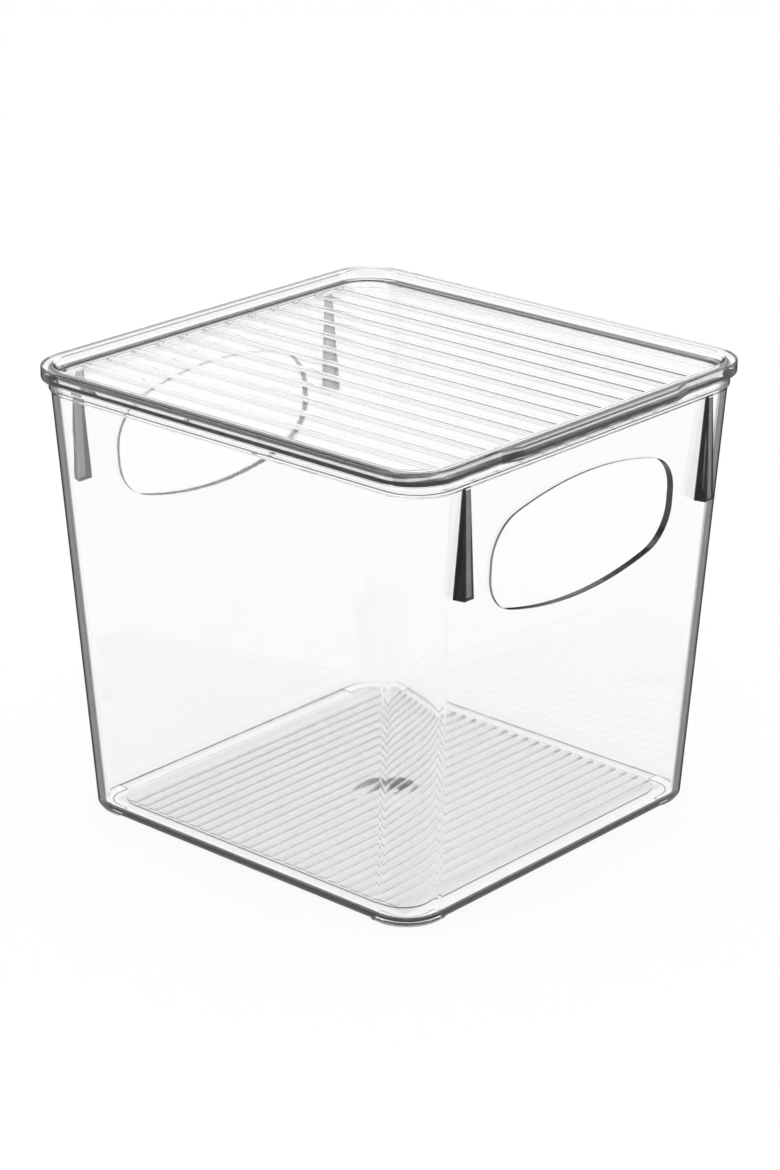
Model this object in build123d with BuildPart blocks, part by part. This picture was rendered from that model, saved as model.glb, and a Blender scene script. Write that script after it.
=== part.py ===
# A clear storage bin with a lift-off lid: two mouldings, the tub and the lid.
#
# Millimetres. Z = 0 is the plane that the feet stand on, +Z is up, and the origin is
# under the middle of the bin. The hand holes are in the walls that face +X and -X, and
# the lid's pull tab is on the +X side.

import os

from build123d import *

# ---- tub: walls and floor -------------------------------------------------------------
wall = 2.2                # thickness of the walls
floor_thickness = 1.7
foot_height = 0.6         # how far the corner feet stand below the floor
base_x = 137.2            # outside size at the floor
base_y = 135.2
mouth_x = 154.0           # outside size of the walls where the rim begins
mouth_y = 146.8
corner_radius = 13.0      # upright corners, outside
base_round = 1.5          # rounding between the walls and the floor, outside
hollow_round = 1.3        # and inside

# ---- tub: rim -------------------------------------------------------------------------
ledge_z = 135.4           # inner ledge, where the wall steps outward
rim_top_z = 138.4
rim_step = 0.6            # how far the rim stands out from the wall
rim_underside = 1.0       # height of the sloped shoulder under the rim
rim_wall = 1.8            # thickness of the rim outside the lid's seat
rim_edge_round = 0.5

# ---- tub: hand holes ------------------------------------------------------------------
hole_z = 106.5            # height of the middle of the hole
hole_half_width = 41.2
hole_half_height = 19.0
hole_end_half_height = 11.6   # half height of the outline's ends before rounding
hole_corner_radius = 13.5
hole_edge_round = 0.2

# ---- tub: stacking ribs, two on each wall that has a hand hole -------------------------
# A rib is a solid wedge, whose foot catches on the rim of a bin that this one is set in.
rib_centre_y = 55.0
rib_bottom_z = 102.4
rib_top_reach = 78.0      # from the middle of the bin to a rib's outer face, at the ledge
rib_bottom_reach = 79.0   # and at the rib's foot
rib_top_width = 2.6       # width of the outer face
rib_bottom_width = 3.8
rib_top_flare = 0.10      # how much each side spreads, for each millimetre towards the wall
rib_bottom_flare = 0.20
rib_edge_round = 0.5

# ---- tub: feet, reeded floor panel and gate mark --------------------------------------
foot_reach = 16.0         # length of a foot along each wall, from the corner
foot_inset = 0.8          # outside edge of the feet, in from the outside of the floor
foot_width = 5.0
foot_edge_round = 0.5
panel_x = 120.0           # reeded panel on the floor
panel_y = 120.0
panel_rise = 0.4
panel_corner = 9.0
reed_count = 25
reed_pitch = 4.45
reed_width = 3.9
reed_rise = 0.26
reed_end_gap = 1.0        # between the ends of the reeds and the edge of the panel
gate_cone_radius = 11.0   # shallow hollow cone around the gate, on the underside
gate_cone_depth = 1.0
gate_vestige_radius = 1.6
gate_vestige_height = 0.5

# ---- lid ------------------------------------------------------------------------------
lid_x = 158.0
lid_y = 153.0
lid_radius = 15.0
lid_top_z = 142.8
lid_edge_round = 0.6
lid_lower_round = 1.1     # lower edge of the flange
bead_width = 3.9          # top of the raised rim
bead_slope = 2.0          # how far the rim's inner side slopes in, from top to panel
bead_inner_round = 0.8
panel_top_z = 139.0
panel_thickness = 1.9
fit_gap = 0.4             # clearance between the lid's skirt and the tub's seat
skirt_width = 1.8
skirt_bottom_z = 135.9
tab_out = 2.0             # pull tab, on the +X side
tab_half_width = 35.0
tab_ramp = 7.0
ridge_count = 12
ridge_pitch = 10.17
ridge_width = 4.0
ridge_rise = 0.3

# ---- worked out from the dimensions above ----------------------------------------------
floor_top_z = foot_height + floor_thickness
rim_x = mouth_x + 2 * rim_step
rim_y = mouth_y + 2 * rim_step
rim_radius = corner_radius + rim_step
seat_x = rim_x - 2 * rim_wall
seat_y = rim_y - 2 * rim_wall
seat_radius = rim_radius - rim_wall
rib_root_x = base_x / 2   # where a rib's section ends, inside the hollow that is cut later
ridge_root = 0.2          # how deep a ridge's section starts inside its panel
reed_length = panel_y - 2 * reed_end_gap
recess_x = lid_x - 2 * bead_width
recess_y = lid_y - 2 * bead_width
recess_radius = lid_radius - bead_width - bead_slope
skirt_x = seat_x - 2 * fit_gap
skirt_y = seat_y - 2 * fit_gap
skirt_radius = seat_radius - fit_gap
ridge_length = recess_x - 2 * bead_slope


def rounded_block(size_x, size_y, radius, low_z, high_z):
    """Return an upright rounded block between two heights."""
    with BuildPart() as block:
        with BuildSketch(Plane.XY.offset(low_z)):
            RectangleRounded(size_x, size_y, radius)
        extrude(amount=high_z - low_z)
    return block.part


def drafted_block(low, high):
    """Return a block lofted between two (size_x, size_y, radius, z) outlines."""
    with BuildPart() as block:
        for size_x, size_y, radius, z in (low, high):
            with BuildSketch(Plane.XY.offset(z)):
                RectangleRounded(size_x, size_y, radius)
        loft(ruled=True)
    return block.part


def hand_hole_outline():
    """Draw the hand hole in the current sketch: a shallow lens with rounded ends."""
    with BuildLine() as border:
        upper = ThreePointArc(
            (-hole_half_width, hole_end_half_height),
            (0, hole_half_height),
            (hole_half_width, hole_end_half_height),
        )
        lower = ThreePointArc(
            (-hole_half_width, -hole_end_half_height),
            (0, -hole_half_height),
            (hole_half_width, -hole_end_half_height),
        )
        Line(upper @ 0, lower @ 0)
        Line(upper @ 1, lower @ 1)
    outline = make_face(border.edges())
    fillet(outline.vertices(), hole_corner_radius)


def rib_section(reach, width, flare):
    """Draw one rib's section in the current XY sketch, symmetrical about the X axis."""
    root_width = width + 2 * flare * (reach - rib_root_x)
    Polygon(
        (reach, -width / 2),
        (reach, width / 2),
        (rib_root_x, root_width / 2),
        (rib_root_x, -root_width / 2),
        align=None,
    )


def ridge_row(count, pitch, width, rise, base_z):
    """Draw the sections of a row of low round ridges that stand on a flat panel."""
    for number in range(count):
        centre = (number - (count - 1) / 2) * pitch
        left = centre - width / 2
        right = centre + width / 2
        with BuildLine() as section:
            ThreePointArc((left, base_z), (centre, base_z + rise), (right, base_z))
            Polyline(
                (left, base_z),
                (left, base_z - ridge_root),
                (right, base_z - ridge_root),
                (right, base_z),
            )
        make_face(section.edges())


# ---- tub --------------------------------------------------------------------------------
# The space inside the walls: the drafted hollow, and the seat for the lid above the ledge.
with BuildPart() as hollow:
    add(
        drafted_block(
            (base_x - 2 * wall, base_y - 2 * wall, corner_radius - wall, floor_top_z),
            (mouth_x - 2 * wall, mouth_y - 2 * wall, corner_radius - wall, ledge_z),
        )
    )
    fillet(hollow.faces().sort_by(Axis.Z)[0].edges(), hollow_round)
    add(rounded_block(seat_x, seat_y, seat_radius, ledge_z, rim_top_z))

# The four stacking ribs, which start as one wedge on the X axis.
with BuildPart() as rib:
    with BuildSketch(Plane.XY.offset(rib_bottom_z)):
        rib_section(rib_bottom_reach, rib_bottom_width, rib_bottom_flare)
    with BuildSketch(Plane.XY.offset(ledge_z)):
        rib_section(rib_top_reach, rib_top_width, rib_top_flare)
    loft(ruled=True)
    fillet(rib.faces().sort_by(Axis.X)[-1].edges(), rib_edge_round)

with BuildPart() as ribs:
    with Locations((0, -rib_centre_y, 0), (0, rib_centre_y, 0)):
        add(rib.part)
    mirror(about=Plane.YZ)

# The four corner feet follow the outside of the floor.
with BuildPart() as feet:
    with BuildSketch():
        RectangleRounded(
            base_x - 2 * foot_inset, base_y - 2 * foot_inset, corner_radius - foot_inset
        )
        RectangleRounded(
            base_x - 2 * (foot_inset + foot_width),
            base_y - 2 * (foot_inset + foot_width),
            corner_radius - foot_inset - foot_width,
            mode=Mode.SUBTRACT,
        )
        with GridLocations(base_x, base_y, 2, 2):
            Rectangle(2 * foot_reach, 2 * foot_reach, mode=Mode.INTERSECT)
    extrude(amount=foot_height + floor_thickness / 2)
    fillet(feet.faces().group_by(Axis.Z)[0].edges(), foot_edge_round)

with BuildPart() as tub:
    # Walls and floor as one drafted block, rounded along the bottom.
    add(
        drafted_block(
            (base_x, base_y, corner_radius, foot_height),
            (mouth_x, mouth_y, corner_radius, ledge_z),
        )
    )
    fillet(tub.faces().sort_by(Axis.Z)[0].edges(), base_round)

    # Rim, with the sloped shoulder under it.
    add(
        drafted_block(
            (mouth_x - 0.2, mouth_y - 0.2, corner_radius, ledge_z - rim_underside),
            (rim_x, rim_y, rim_radius, ledge_z),
        )
    )
    add(rounded_block(rim_x, rim_y, rim_radius, ledge_z, rim_top_z))
    add(ribs.part)
    add(feet.part)
    add(hollow.part, mode=Mode.SUBTRACT)
    fillet(tub.faces().sort_by(Axis.Z)[-1].edges(), rim_edge_round)

    # Hand holes, cut through both walls at once.
    with BuildSketch(Plane((0, 0, hole_z), x_dir=(0, 1, 0), z_dir=(1, 0, 0))):
        hand_hole_outline()
    extrude(amount=rim_x, both=True, mode=Mode.SUBTRACT)
    fillet(tub.edges(Select.LAST).filter_by(Axis.X, reverse=True), hole_edge_round)

    # Reeded panel on the floor, with the reeds running along Y.
    with BuildSketch(Plane.XY.offset(floor_top_z)):
        RectangleRounded(panel_x, panel_y, panel_corner)
    extrude(amount=panel_rise)
    with BuildSketch(Plane.XZ.offset(-reed_length / 2)):
        ridge_row(reed_count, reed_pitch, reed_width, reed_rise, floor_top_z + panel_rise)
    extrude(amount=reed_length)

    # Gate mark under the middle of the floor: a shallow cone with the gate's stub in it.
    with Locations((0, 0, foot_height)):
        Cone(
            gate_cone_radius,
            gate_vestige_radius,
            gate_cone_depth,
            align=(Align.CENTER, Align.CENTER, Align.MIN),
            mode=Mode.SUBTRACT,
        )
    with Locations((0, 0, foot_height + gate_cone_depth)):
        Cylinder(
            gate_vestige_radius,
            gate_vestige_height,
            align=(Align.CENTER, Align.CENTER, Align.MAX),
        )

# ---- lid --------------------------------------------------------------------------------
with BuildPart() as lid:
    # Flange, with the pull tab on the +X side.
    with BuildSketch(Plane.XY.offset(rim_top_z)):
        RectangleRounded(lid_x, lid_y, lid_radius)
        with BuildLine():
            Polyline(
                (0, -tab_half_width - tab_ramp),
                (lid_x / 2, -tab_half_width - tab_ramp),
                (lid_x / 2 + tab_out, -tab_half_width),
                (lid_x / 2 + tab_out, tab_half_width),
                (lid_x / 2, tab_half_width + tab_ramp),
                (0, tab_half_width + tab_ramp),
                close=True,
            )
        make_face()
    extrude(amount=lid_top_z - rim_top_z)
    fillet(lid.faces().sort_by(Axis.Z)[-1].edges(), lid_edge_round)
    fillet(lid.faces().sort_by(Axis.Z)[0].edges(), lid_lower_round)

    # Skirt that drops into the tub's seat, then the recess inside the raised rim, with a
    # sloped side, and the underside of the panel.
    add(rounded_block(skirt_x, skirt_y, skirt_radius, skirt_bottom_z, rim_top_z))
    add(
        drafted_block(
            (recess_x - 2 * bead_slope, recess_y - 2 * bead_slope, recess_radius, panel_top_z),
            (recess_x, recess_y, recess_radius + bead_slope, lid_top_z),
        ),
        mode=Mode.SUBTRACT,
    )
    fillet(lid.edges(Select.LAST).group_by(Axis.Z)[-1], bead_inner_round)
    add(
        rounded_block(
            skirt_x - 2 * skirt_width,
            skirt_y - 2 * skirt_width,
            skirt_radius - skirt_width,
            skirt_bottom_z,
            panel_top_z - panel_thickness,
        ),
        mode=Mode.SUBTRACT,
    )

    # Ridges across the panel, along X.
    with BuildSketch(Plane.YZ.offset(-ridge_length / 2)):
        ridge_row(ridge_count, ridge_pitch, ridge_width, ridge_rise, panel_top_z)
    extrude(amount=ridge_length)

# ---- hand over --------------------------------------------------------------------------
os.makedirs("parts", exist_ok=True)
tub.part.label = "tub"
export_step(tub.part, "parts/tub.step")
lid.part.label = "lid"
export_step(lid.part, "parts/lid.step")
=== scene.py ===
"""A clear plastic storage bin with a lift-off lid, on a white studio floor.

Everything is in metres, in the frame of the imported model: Z = 0 is the floor, the lid's
pull tab is on the +X side.
"""
import math

import bpy
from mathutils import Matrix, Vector

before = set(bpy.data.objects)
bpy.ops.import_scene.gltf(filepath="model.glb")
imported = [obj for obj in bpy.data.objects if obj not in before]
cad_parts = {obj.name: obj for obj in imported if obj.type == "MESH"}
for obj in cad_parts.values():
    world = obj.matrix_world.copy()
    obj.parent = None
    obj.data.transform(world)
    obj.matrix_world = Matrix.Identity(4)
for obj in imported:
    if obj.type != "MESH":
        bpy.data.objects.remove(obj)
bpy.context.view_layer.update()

# ---- camera ------------------------------------------------------------------------------
CAMERA_AZIMUTH = math.radians(41.9)
CAMERA_ELEVATION = math.radians(21.1)
CAMERA_DISTANCE = 1.012
CAMERA_LENS = 102.0        # millimetres
SENSOR_WIDTH = 36.0        # millimetres
CLIP_NEAR = 0.05
CLIP_FAR = 30.0
TARGET_HEIGHT = 0.071

# ---- studio --------------------------------------------------------------------------------
FLOOR_SIZE = 7.0
FLOOR_SHADE = 0.90
FLOOR_ROUGHNESS = 0.9
FLOOR_SPECULAR = 0.1
LAMP_HEIGHT = 2.4
LAMP_WIDTH = 1.2
LAMP_POWER = 1             # a trace: the surround gives nearly all of the light
# Brightness of the surround against the sine of the height above the horizon.
SURROUND = ((0.00, 1.06), (0.52, 1.06), (0.62, 0.12), (0.76, 0.12), (0.80, 1.85), (1.00, 1.85))

# ---- clear plastic --------------------------------------------------------------------------
PLASTIC_IOR = 1.57
ABSORPTION_COLOUR = (0.60, 0.64, 0.66, 1.0)
ABSORPTION_DENSITY = 5.0
# Painted shade: a near-black shader mixed into the clear plastic at turned edges, where light
# is mirrored inside it, and on the ribs.
PAINTED_SHADE_COLOUR = (0.02, 0.02, 0.02, 1.0)
EDGE_START = 0.60          # Layer Weight facing where the painted dark edge begins
EDGE_FULL = 0.84
EDGE_PAINTED_SHADE = 0.97           # share of painted shade at a grazing edge
LEVEL_START = 0.90         # the painted dark edge fades out on level faces, by the normal's Z
LEVEL_FULL = 0.96
WALL_START = 0.975         # and on the flat walls, by the normal's X or Y
WALL_FULL = 0.993
HOLE_LOWEST = 0.085        # level faces between these heights do have a painted dark edge: they are the cut edges of the hand holes
HOLE_HIGHEST = 0.128       # are the cut edges of the hand holes
TRAPPED_START = 0.6        # Fresnel factor where the painted shade for light mirrored inside the plastic begins
TUB_TRAPPED_SHADE = 0.85    # share of painted shade where light is mirrored inside the plastic
LID_TRAPPED_SHADE = 0.12
LAMP_TINT = (0.985, 0.988, 0.99, 1.0)
MASK_BLEND = 0.001         # soft border of the panel's and the hand holes' masks

# Unevenness of a moulded surface: noise scales, and how far each noise reaches.
NOISE_LOW = 0.3            # the part of a noise's range that is used
NOISE_HIGH = 0.7
WAVE_SCALE = 22.0
WAVE_DEPTH = 0.001
SKIN_SCALE = 900.0
SKIN_DEPTH = 0.0001
BUMP_STRENGTH = 0.02
FLOW_SCALE = 14.0
FLOW_STRETCH = (1, 1, 0.35)
TINT_DARK = (0.978, 0.981, 0.982, 1.0)
TINT_PALE = (0.990, 0.992, 0.993, 1.0)
HANDLING_SCALE = 55.0
GLOSS_CLEAN = 0.012        # roughness
GLOSS_DULL = 0.045

# The stacking ribs are thick wedges that stand out of the drafted walls and get painted shade,
# so they look dark grey.
WALL_FOOT_X = 0.0686       # outside of the walls that have ribs, at the floor
WALL_DRAFT = 0.0623        # how much they lean out, per metre of height
RIB_CENTRE_Y = 0.055
RIB_HALF_WIDTH = 0.0045
RIB_HIGHEST = 0.1350
RIB_PROUD = (0.0001, 0.0006)   # how far from the wall the smoke begins, and is full
RIB_SIDE_BLEND = 0.0003
RIB_TOP_BLEND = 0.0005
# share of painted shade on the ribs
RIB_PAINTED_SHADE = 0.80

# The reeded panel on the floor of the tub has a finely textured, duller face and a painted
# grey shade.
PANEL_HALF_X = 0.060
PANEL_HALF_Y = 0.060
PANEL_TOP = 0.0045
# painted shade: the panel's base colour is darkened to this grey
PANEL_PAINTED_SHADE = 0.80
PANEL_ROUGHNESS = 0.09
PANEL_CLEARING = 0.55      # share of the painted trapped-light shade that is taken off on the panel


def new_material(name):
    """Return an empty node material and its node tree."""
    material = bpy.data.materials.new(name)
    material.use_nodes = True
    material.node_tree.nodes.clear()
    return material, material.node_tree


def add_node(tree, kind, **inputs):
    """Add a node and set its inputs, whose names are written with _ for a space."""
    node = tree.nodes.new(kind)
    for name, value in inputs.items():
        node.inputs[name.replace("_", " ")].default_value = value
    return node


def noise(tree, scale, detail, roughness=0.5, stretch=(1, 1, 1)):
    """Add a noise texture in object space and return its factor socket."""
    place = tree.nodes.new("ShaderNodeTexCoord")
    mapping = add_node(tree, "ShaderNodeMapping", Scale=stretch)
    texture = add_node(
        tree, "ShaderNodeTexNoise", Scale=scale, Detail=detail, Roughness=roughness
    )
    tree.links.new(place.outputs["Object"], mapping.inputs["Vector"])
    tree.links.new(mapping.outputs["Vector"], texture.inputs["Vector"])
    return texture.outputs["Fac"]


def spread(tree, factor, low, high):
    """Map a 0..1 factor onto a range and return the result socket."""
    node = add_node(
        tree,
        "ShaderNodeMapRange",
        From_Min=NOISE_LOW,
        From_Max=NOISE_HIGH,
        To_Min=low,
        To_Max=high,
    )
    tree.links.new(factor, node.inputs["Value"])
    return node.outputs["Result"]


def remap(tree, value, from_low, from_high, to_low, to_high):
    """Map a value smoothly from one range onto another and return the result socket."""
    node = add_node(
        tree,
        "ShaderNodeMapRange",
        From_Min=from_low,
        From_Max=from_high,
        To_Min=to_low,
        To_Max=to_high,
    )
    node.interpolation_type = "SMOOTHSTEP"
    tree.links.new(value, node.inputs["Value"])
    return node.outputs["Result"]


def arithmetic(tree, operation, *values):
    """Add a Math node on sockets and numbers and return its output."""
    node = tree.nodes.new("ShaderNodeMath")
    node.operation = operation
    for slot, value in zip(node.inputs, values):
        if isinstance(value, float):
            slot.default_value = value
        else:
            tree.links.new(value, slot)
    return node.outputs[0]


def components(tree, vector=None):
    """Split a vector socket, or the place in object space, and return its outputs."""
    if vector is None:
        vector = tree.nodes.new("ShaderNodeTexCoord").outputs["Object"]
    split = tree.nodes.new("ShaderNodeSeparateXYZ")
    tree.links.new(vector, split.inputs["Vector"])
    return split.outputs


def below(tree, value, limit, blend):
    """Return a socket that is 1 where a value is under a limit and 0 above it."""
    return remap(tree, value, limit - blend, limit, 1.0, 0.0)


def mix_shaders(tree, factor, first, second):
    """Mix two shaders by a factor socket and return the mixed shader's socket."""
    mix = tree.nodes.new("ShaderNodeMixShader")
    tree.links.new(factor, mix.inputs["Fac"])
    tree.links.new(first, mix.inputs[1])
    tree.links.new(second, mix.inputs[2])
    return mix.outputs["Shader"]


def mix_colours(tree, factor, first, second):
    """Mix a colour or colour socket with a colour by a factor socket."""
    mix = tree.nodes.new("ShaderNodeMix")
    mix.data_type = "RGBA"
    tree.links.new(factor, mix.inputs["Factor"])
    if isinstance(first, tuple):
        mix.inputs["A"].default_value = first
    else:
        tree.links.new(first, mix.inputs["A"])
    mix.inputs["B"].default_value = second
    return mix.outputs["Result"]


def panel_mask(tree):
    """Return a socket that is 1 on the floor's reeded panel and 0 elsewhere."""
    place = components(tree)
    across = arithmetic(tree, "ABSOLUTE", place["X"])
    along = arithmetic(tree, "ABSOLUTE", place["Y"])
    inside = arithmetic(
        tree,
        "MULTIPLY",
        below(tree, across, PANEL_HALF_X, MASK_BLEND),
        below(tree, along, PANEL_HALF_Y, MASK_BLEND),
    )
    return arithmetic(tree, "MULTIPLY", inside, below(tree, place["Z"], PANEL_TOP, MASK_BLEND))


def hand_hole_mask(tree):
    """Return a socket that is 1 at the heights of the hand holes and 0 elsewhere."""
    height = components(tree)["Z"]
    above = remap(tree, height, HOLE_LOWEST - MASK_BLEND, HOLE_LOWEST, 0.0, 1.0)
    return arithmetic(tree, "MULTIPLY", above, below(tree, height, HOLE_HIGHEST, MASK_BLEND))


def rib_mask(tree):
    """Return a socket that is 1 on the stacking ribs and 0 elsewhere."""
    place = components(tree)
    wall = arithmetic(tree, "MULTIPLY_ADD", place["Z"], WALL_DRAFT, WALL_FOOT_X)
    reach = arithmetic(tree, "ABSOLUTE", place["X"])
    proud = remap(tree, arithmetic(tree, "SUBTRACT", reach, wall), *RIB_PROUD, 0.0, 1.0)
    side = arithmetic(tree, "ABSOLUTE", place["Y"])
    off_centre = arithmetic(tree, "ABSOLUTE", arithmetic(tree, "SUBTRACT", side, RIB_CENTRE_Y))
    narrow = below(tree, off_centre, RIB_HALF_WIDTH, RIB_SIDE_BLEND)
    low = below(tree, place["Z"], RIB_HIGHEST, RIB_TOP_BLEND)
    return arithmetic(tree, "MULTIPLY", arithmetic(tree, "MULTIPLY", proud, narrow), low)


def clear_plastic(name, trapped_shade, is_tub):
    """Clear glossy moulded plastic: near-white, faintly uneven and faintly scuffed, with
    painted shade at edges, mirrored inner faces and ribs.
    """
    material, tree = new_material(name)
    plastic = add_node(
        tree,
        "ShaderNodeBsdfPrincipled",
        IOR=PLASTIC_IOR,
        Transmission_Weight=1.0,
    )
    # Surface: the slow waviness of a moulded wall, and a fine skin on top.
    waviness = noise(tree, WAVE_SCALE, 1.0)
    skin = noise(tree, SKIN_SCALE, 2.0)
    wave_bump = add_node(tree, "ShaderNodeBump", Strength=BUMP_STRENGTH, Distance=WAVE_DEPTH)
    skin_bump = add_node(tree, "ShaderNodeBump", Strength=BUMP_STRENGTH, Distance=SKIN_DEPTH)
    tree.links.new(waviness, wave_bump.inputs["Height"])
    tree.links.new(skin, skin_bump.inputs["Height"])
    tree.links.new(wave_bump.outputs["Normal"], skin_bump.inputs["Normal"])
    tree.links.new(skin_bump.outputs["Normal"], plastic.inputs["Normal"])
    # Colour: a trace of grey that drifts along the flow of the melt.
    flow = noise(tree, FLOW_SCALE, 3.0, stretch=FLOW_STRETCH)
    tint_and_shade = mix_colours(tree, flow, TINT_DARK, TINT_PALE)
    # Gloss: clean, with slightly duller patches.
    handling = noise(tree, HANDLING_SCALE, 6.0, 0.6)
    gloss = spread(tree, handling, GLOSS_CLEAN, GLOSS_DULL)
    if is_tub:
        panel = panel_mask(tree)
        # Painted shade: the floor panel's colour is darkened to grey.
        tint_and_shade = mix_colours(tree, panel, tint_and_shade, (PANEL_PAINTED_SHADE, PANEL_PAINTED_SHADE, PANEL_PAINTED_SHADE, 1.0))
        dull = remap(tree, panel, 0.0, 1.0, 0.0, PANEL_ROUGHNESS)
        gloss = arithmetic(tree, "MAXIMUM", gloss, dull)
    tree.links.new(tint_and_shade, plastic.inputs["Base Color"])
    tree.links.new(gloss, plastic.inputs["Roughness"])
    # Edges: painted shade where corners and rounds turn away from the eye, so that they look
    # dark; flat walls and panels get none.
    geometry = tree.nodes.new("ShaderNodeNewGeometry")
    normal = components(tree, geometry.outputs["Normal"])
    upright = arithmetic(tree, "ABSOLUTE", normal["Z"])
    turned = remap(tree, upright, LEVEL_START, LEVEL_FULL, 1.0, 0.0)
    if is_tub:
        turned = arithmetic(tree, "MAXIMUM", turned, hand_hole_mask(tree))
    for axis in ("X", "Y"):
        sideways = arithmetic(tree, "ABSOLUTE", normal[axis])
        curved = remap(tree, sideways, WALL_START, WALL_FULL, 1.0, 0.0)
        turned = arithmetic(tree, "MULTIPLY", turned, curved)
    weight = add_node(tree, "ShaderNodeLayerWeight", Blend=0.5)
    grazing = remap(tree, weight.outputs["Facing"], EDGE_START, EDGE_FULL, 0.0, EDGE_PAINTED_SHADE)
    edge = arithmetic(tree, "MULTIPLY", grazing, turned)
    # Painted shade on back faces where light inside the plastic is mirrored from face to face.
    mirror = add_node(tree, "ShaderNodeFresnel", IOR=PLASTIC_IOR)
    trapped = remap(tree, mirror.outputs["Fac"], TRAPPED_START, 1.0, 0.0, trapped_shade)
    painted_trapped_shade = arithmetic(tree, "MULTIPLY", trapped, geometry.outputs["Backfacing"])
    if is_tub:
        kept = remap(tree, panel, 0.0, 1.0, 1.0, 1.0 - PANEL_CLEARING)
        painted_trapped_shade = arithmetic(tree, "MULTIPLY", painted_trapped_shade, kept)
    painted_shade = arithmetic(tree, "MAXIMUM", edge, painted_trapped_shade)
    if is_tub:
        # Painted shade on the stacking ribs, the same in every view.
        painted_rib_shade = remap(tree, rib_mask(tree), 0.0, 1.0, 0.0, RIB_PAINTED_SHADE)
        painted_shade = arithmetic(tree, "MAXIMUM", painted_shade, painted_rib_shade)
    # The near-black shader that paints all of this shade.
    painted_shade_bsdf = add_node(tree, "ShaderNodeBsdfDiffuse", Color=PAINTED_SHADE_COLOUR)
    shaded = mix_shaders(tree, painted_shade, plastic.outputs["BSDF"], painted_shade_bsdf.outputs["BSDF"])
    # Lamps and the light from the surround shine straight through the clear walls.
    path = tree.nodes.new("ShaderNodeLightPath")
    lighting = arithmetic(
        tree, "MAXIMUM", path.outputs["Is Shadow Ray"], path.outputs["Is Diffuse Ray"]
    )
    through = add_node(tree, "ShaderNodeBsdfTransparent", Color=LAMP_TINT)
    output = tree.nodes.new("ShaderNodeOutputMaterial")
    surface = mix_shaders(tree, lighting, shaded, through.outputs["BSDF"])
    tree.links.new(surface, output.inputs["Surface"])
    depth = add_node(
        tree,
        "ShaderNodeVolumeAbsorption",
        Color=ABSORPTION_COLOUR,
        Density=ABSORPTION_DENSITY,
    )
    tree.links.new(depth.outputs["Volume"], output.inputs["Volume"])
    return material


def make_floor():
    """A plain white floor, wide enough to fill the view."""
    half = FLOOR_SIZE / 2
    mesh = bpy.data.meshes.new("floor")
    corners = [(-half, -half, 0), (half, -half, 0), (half, half, 0), (-half, half, 0)]
    mesh.from_pydata(corners, [], [(0, 1, 2, 3)])
    floor = bpy.data.objects.new("floor", mesh)
    bpy.context.scene.collection.objects.link(floor)
    material, tree = new_material("floor_white")
    paper = add_node(tree, "ShaderNodeBsdfPrincipled", Roughness=FLOOR_ROUGHNESS)
    paper.inputs["Specular IOR Level"].default_value = FLOOR_SPECULAR
    paper.inputs["Base Color"].default_value = (FLOOR_SHADE, FLOOR_SHADE, FLOOR_SHADE, 1)
    output = tree.nodes.new("ShaderNodeOutputMaterial")
    tree.links.new(paper.outputs["BSDF"], output.inputs["Surface"])
    mesh.materials.append(material)


def make_lamp():
    """A square soft lamp straight above the bin, which shines down."""
    lamp = bpy.data.lights.new("overhead", "AREA")
    lamp.shape = "RECTANGLE"
    lamp.size = LAMP_WIDTH
    lamp.size_y = LAMP_WIDTH
    lamp.energy = LAMP_POWER
    light = bpy.data.objects.new("overhead", lamp)
    light.location = (0, 0, LAMP_HEIGHT)
    bpy.context.scene.collection.objects.link(light)


def make_camera():
    """The camera, aimed at the middle of the bin."""
    target = Vector((0, 0, TARGET_HEIGHT))
    flat = math.cos(CAMERA_ELEVATION)
    back = Vector(
        (
            math.sin(CAMERA_AZIMUTH) * flat,
            -math.cos(CAMERA_AZIMUTH) * flat,
            math.sin(CAMERA_ELEVATION),
        )
    )
    data = bpy.data.cameras.new("camera")
    data.lens = CAMERA_LENS
    data.sensor_width = SENSOR_WIDTH
    data.clip_start = CLIP_NEAR
    data.clip_end = CLIP_FAR
    camera = bpy.data.objects.new("camera", data)
    camera.location = target + back * CAMERA_DISTANCE
    camera.rotation_euler = back.to_track_quat("Z", "Y").to_euler()
    bpy.context.scene.collection.objects.link(camera)
    bpy.context.scene.camera = camera


def make_world():
    """The surround: a white sweep, a dark band above it, and a soft light overhead."""
    world = bpy.data.worlds.new("surround")
    world.use_nodes = True
    tree = world.node_tree
    tree.nodes.clear()
    place = tree.nodes.new("ShaderNodeTexCoord")
    split = tree.nodes.new("ShaderNodeSeparateXYZ")
    curve = tree.nodes.new("ShaderNodeFloatCurve")
    points = curve.mapping.curves[0].points
    top = max(level for _, level in SURROUND)
    while len(points) < len(SURROUND):
        points.new(0.5, 0.5)
    for point, (height, level) in zip(points, SURROUND):
        point.location = (height, level / top)
        point.handle_type = "VECTOR"
    curve.mapping.update()
    glow = add_node(tree, "ShaderNodeBackground", Strength=top)
    output = tree.nodes.new("ShaderNodeOutputWorld")
    tree.links.new(place.outputs["Generated"], split.inputs["Vector"])
    tree.links.new(split.outputs["Z"], curve.inputs["Value"])
    tree.links.new(curve.outputs["Value"], glow.inputs["Color"])
    tree.links.new(glow.outputs["Background"], output.inputs["Surface"])
    bpy.context.scene.world = world


for node, trapped_shade in (("tub", TUB_TRAPPED_SHADE), ("lid", LID_TRAPPED_SHADE)):
    plastic_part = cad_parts[node].data
    plastic_part.materials.clear()
    plastic_part.materials.append(clear_plastic("clear_" + node, trapped_shade, node == "tub"))

make_camera()
make_world()
make_floor()
make_lamp()

scene = bpy.context.scene
scene.view_settings.view_transform = "Standard"
scene.cycles.transmission_bounces = 24
scene.cycles.max_bounces = 32
scene.cycles.transparent_max_bounces = 32
